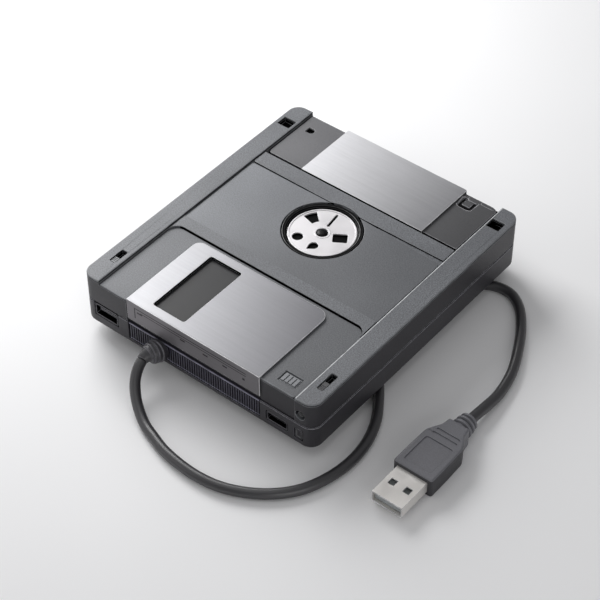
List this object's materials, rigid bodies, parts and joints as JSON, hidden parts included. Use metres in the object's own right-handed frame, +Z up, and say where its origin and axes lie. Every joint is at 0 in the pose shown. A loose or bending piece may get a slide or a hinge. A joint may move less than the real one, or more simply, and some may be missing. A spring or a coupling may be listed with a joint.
{
  "type": "external floppy disk drive",
  "caption": "Flat portable floppy disk drive with a lid styled like a disk, sliding metal shutters, a turning hub, a disk mechanism inside and a fixed cord with a plug.",
  "frame": {"origin": "middle of the drive, cord left out, at the level of the feet's undersides", "axes": "+X to the right seen from above with the cord's exit towards the viewer, +Y towards the end that takes the disk, +Z up"},
  "size_m": [0.141, 0.1505, 0.026],
  "materials": {
    "lid": "fine-grained grey plastic",
    "shell": "dark grey satin plastic",
    "dark": "smooth dark grey plastic",
    "black": "black plastic",
    "brushed": "brushed aluminium sheet",
    "polished": "bright polished metal",
    "steel": "zinc-plated steel",
    "rubber": "black rubber",
    "grey": "grey moulded plastic",
    "board": "green circuit board",
    "copper": "copper windings and bronze",
    "lens": "clear or white moulding",
    "cord": "dark grey satin sleeve"
  },
  "bodies": {
    "case": {"upper_shell": "lid", "lower_shell": "shell", "vent_grille": "shell", "window_inlay": "dark", "mark_inlay": "lid", "rear_panel": "dark", "rear_bezel": "shell", "left_port": "steel", "right_port": "steel", "light_pipe": "lens", "foot_front_left": "rubber", "foot_rear_left": "rubber", "foot_front_right": "rubber", "foot_rear_right": "rubber", "screw_front_left": "steel", "screw_rear_left": "steel", "screw_front_right": "steel", "screw_rear_right": "steel", "setup_switch": "grey", "hub_ring": "black", "hub_pin": "black", "chassis": "steel", "eject_spring_left": "steel", "eject_spring_right": "steel", "spindle_bearing": "copper", "motor_stator": "copper", "guide_rod": "polished", "stepper_motor": "steel", "interface_board": "board", "main_board": "board", "controller_chip": "black", "usb_chip": "black", "ribbon_cable": "grey", "track_sensor": "dark", "disk_switch": "dark", "cable_socket": "lens", "strain_relief": "cord", "cord": "cord", "plug_overmould": "cord", "plug_shell": "polished", "plug_tongue": "lens"},
    "front_shutter": {"front_shutter": "brushed"},
    "rear_shutter": {"rear_shutter": "brushed"},
    "hub_disc": {"hub_disc": "polished"},
    "spindle": {"spindle_rotor": "steel", "spindle_shaft": "polished"},
    "left_tab": {"left_tab": "grey"},
    "right_tab": {"right_tab": "grey"},
    "setup_button": {"setup_button": "dark"},
    "eject_slider": {"eject_slider": "steel", "eject_button": "shell"},
    "disk_holder": {"disk_holder": "steel"},
    "dust_flap": {"dust_flap": "dark"},
    "head_carriage": {"head_carriage": "grey", "lower_head": "dark"},
    "head_arm": {"head_arm": "grey", "upper_head": "dark"},
    "lead_screw": {"lead_screw": "steel"},
    "latch_lever": {"latch_lever": "steel"}
  },
  "joints": [
    {"name": "front_shutter_slide", "type": "slide", "parent": "case", "child": "front_shutter", "axis": [1, 0, 0], "range_m": [0, 0.014], "stiffness_N_per_m": 20, "springref_m": -0.012},
    {"name": "rear_shutter_slide", "type": "slide", "parent": "case", "child": "rear_shutter", "axis": [1, 0, 0], "range_m": [0, 0.014], "stiffness_N_per_m": 20, "springref_m": -0.012},
    {"name": "hub_spin", "type": "hinge", "parent": "case", "child": "hub_disc", "pos_m": [0, 0.0094, 0.0238], "axis": [0, 0, 1], "continuous": true},
    {"name": "spindle_spin", "type": "hinge", "parent": "case", "child": "spindle", "pos_m": [0, 0.0085, 0.012], "axis": [0, 0, 1], "continuous": true},
    {"name": "left_tab_slide", "type": "slide", "parent": "case", "child": "left_tab", "axis": [0, 1, 0], "range_m": [0, 0.0036]},
    {"name": "right_tab_slide", "type": "slide", "parent": "case", "child": "right_tab", "axis": [0, 1, 0], "range_m": [0, 0.0038]},
    {"name": "setup_button_press", "type": "slide", "parent": "case", "child": "setup_button", "axis": [0, 1, 0], "range_m": [0, 0.0008], "stiffness_N_per_m": 500, "springref_m": -0.0008},
    {"name": "eject_slide", "type": "slide", "parent": "case", "child": "eject_slider", "axis": [0, 1, 0], "range_m": [0, 0.004], "deforming": ["eject_spring_left", "eject_spring_right"]},
    {"name": "holder_drop", "type": "slide", "parent": "case", "child": "disk_holder", "axis": [0, 0, -1], "range_m": [0, 0.0022]},
    {"name": "flap_hinge", "type": "hinge", "parent": "case", "child": "dust_flap", "pos_m": [0, 0.0558, 0.02125], "axis": [-1, 0, 0], "range_deg": [0, 85], "stiffness_Nm_per_rad": 0.002, "springref_deg": -22.92},
    {"name": "carriage_slide", "type": "slide", "parent": "case", "child": "head_carriage", "axis": [0, 1, 0], "range_m": [0, 0.0148]},
    {"name": "screw_spin", "type": "hinge", "parent": "case", "child": "lead_screw", "pos_m": [-0.025, -0.03, 0.01255], "axis": [0, 1, 0], "range_deg": [0, 1421]},
    {"name": "arm_lower", "type": "hinge", "parent": "head_carriage", "child": "head_arm", "pos_m": [0, -0.0546, 0.0212], "axis": [-1, 0, 0], "range_deg": [0, 10.6]},
    {"name": "latch_pivot", "type": "hinge", "parent": "case", "child": "latch_lever", "pos_m": [0.028, -0.0416, 0.017], "axis": [0, 0, 1], "range_deg": [0, 18], "stiffness_Nm_per_rad": 0.004, "springref_deg": -17.19}
  ],
  "couplings": [
    {"joint": "holder_drop", "follows": "eject_slide", "ratio": 0.55},
    {"joint": "arm_lower", "follows": "eject_slide", "rad_per_m": 45.8},
    {"joint": "screw_spin", "follows": "carriage_slide", "rad_per_m": 1675.5}
  ]
}
